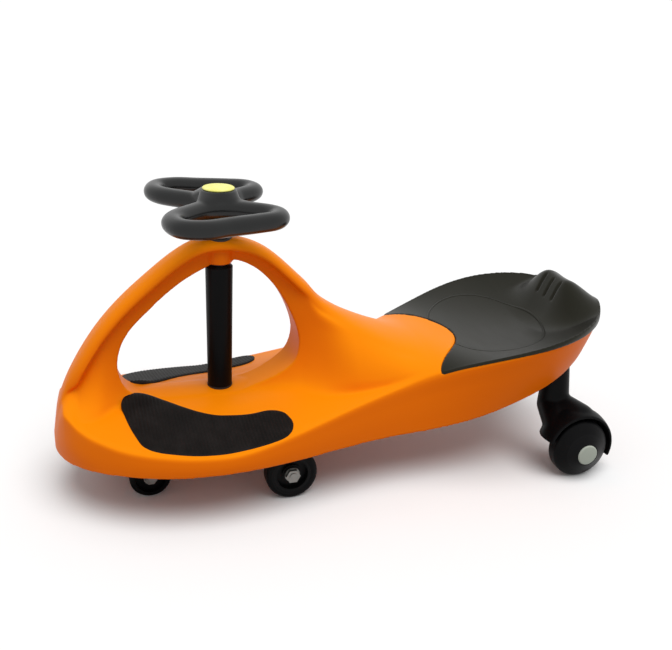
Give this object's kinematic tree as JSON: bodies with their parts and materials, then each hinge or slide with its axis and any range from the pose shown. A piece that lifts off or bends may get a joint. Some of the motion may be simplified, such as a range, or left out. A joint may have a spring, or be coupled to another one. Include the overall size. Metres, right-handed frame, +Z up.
{
  "type": "wiggle car",
  "caption": "Ride-on toy with a moulded body, an arch over an upright steering column, a dished seat and small wheels on a turning yoke and two rear arms.",
  "frame": {"origin": "on the floor, under the middle of the body's length and width", "axes": "+X to the nose, +Y to the rider's left, +Z up"},
  "size_m": [0.7632, 0.32, 0.3985],
  "materials": {
    "body_orange": "satin moulded",
    "seat_grey": "fine grain, satin",
    "pad_rubber": "ribbed, matte",
    "nylon": "black nylon",
    "black_plastic": "satin moulded",
    "steel": "zinc plated",
    "wheel_black": "smooth, satin",
    "hub_black": "moulded",
    "cap_yellow": "smooth",
    "hub_cap_pale": "smooth"
  },
  "bodies": {
    "chassis": {"body_shell": "body_orange", "seat": "seat_grey", "seat_screws": "steel", "upper_column_bush": "nylon", "lower_column_bush": "nylon", "rear_arm_screws": "steel", "foot_pad_left": "pad_rubber", "rear_arm_left": "black_plastic", "rear_axle_left": "steel", "foot_pad_right": "pad_rubber", "rear_arm_right": "black_plastic", "rear_axle_right": "steel"},
    "steering": {"steering_wheel": "black_plastic", "steering_cap": "cap_yellow", "steering_screw": "steel", "steering_shaft": "steel", "column_sleeve": "black_plastic", "front_yoke": "black_plastic", "yoke_bolt": "steel", "yoke_nut": "steel", "front_axle": "steel", "front_axle_washers": "steel", "front_axle_nuts": "steel", "guide_axle": "steel", "guide_axle_washers": "steel", "guide_axle_nuts": "steel"},
    "front_wheel_left": {"front_tyre_left": "wheel_black", "front_hub_left": "hub_black", "front_bushes_left": "nylon"},
    "guide_wheel_left": {"guide_wheel_left": "wheel_black", "guide_bushes_left": "nylon"},
    "rear_wheel_left": {"rear_tyre_left": "wheel_black", "rear_hub_left": "hub_black", "rear_bushes_left": "nylon", "rear_hub_cap_left": "hub_cap_pale"},
    "front_wheel_right": {"front_tyre_right": "wheel_black", "front_hub_right": "hub_black", "front_bushes_right": "nylon"},
    "guide_wheel_right": {"guide_wheel_right": "wheel_black", "guide_bushes_right": "nylon"},
    "rear_wheel_right": {"rear_tyre_right": "wheel_black", "rear_hub_right": "hub_black", "rear_bushes_right": "nylon", "rear_hub_cap_right": "hub_cap_pale"}
  },
  "joints": [
    {"name": "steering_turn", "type": "hinge", "parent": "chassis", "child": "steering", "pos_m": [0.166, 0, 0.2], "axis": [0, 0, 1], "continuous": true},
    {"name": "front_left_spin", "type": "hinge", "parent": "steering", "child": "front_wheel_left", "pos_m": [0.09, 0.086, 0.0345], "axis": [0, 1, 0], "continuous": true},
    {"name": "guide_left_spin", "type": "hinge", "parent": "steering", "child": "guide_wheel_left", "pos_m": [0.267, 0.038, 0.027], "axis": [0, 1, 0], "continuous": true},
    {"name": "rear_left_spin", "type": "hinge", "parent": "chassis", "child": "rear_wheel_left", "pos_m": [-0.315, 0.139, 0.0415], "axis": [0, 1, 0], "continuous": true},
    {"name": "front_right_spin", "type": "hinge", "parent": "steering", "child": "front_wheel_right", "pos_m": [0.09, -0.086, 0.0345], "axis": [0, 1, 0], "continuous": true},
    {"name": "guide_right_spin", "type": "hinge", "parent": "steering", "child": "guide_wheel_right", "pos_m": [0.267, -0.038, 0.027], "axis": [0, 1, 0], "continuous": true},
    {"name": "rear_right_spin", "type": "hinge", "parent": "chassis", "child": "rear_wheel_right", "pos_m": [-0.315, -0.139, 0.0415], "axis": [0, 1, 0], "continuous": true}
  ]
}
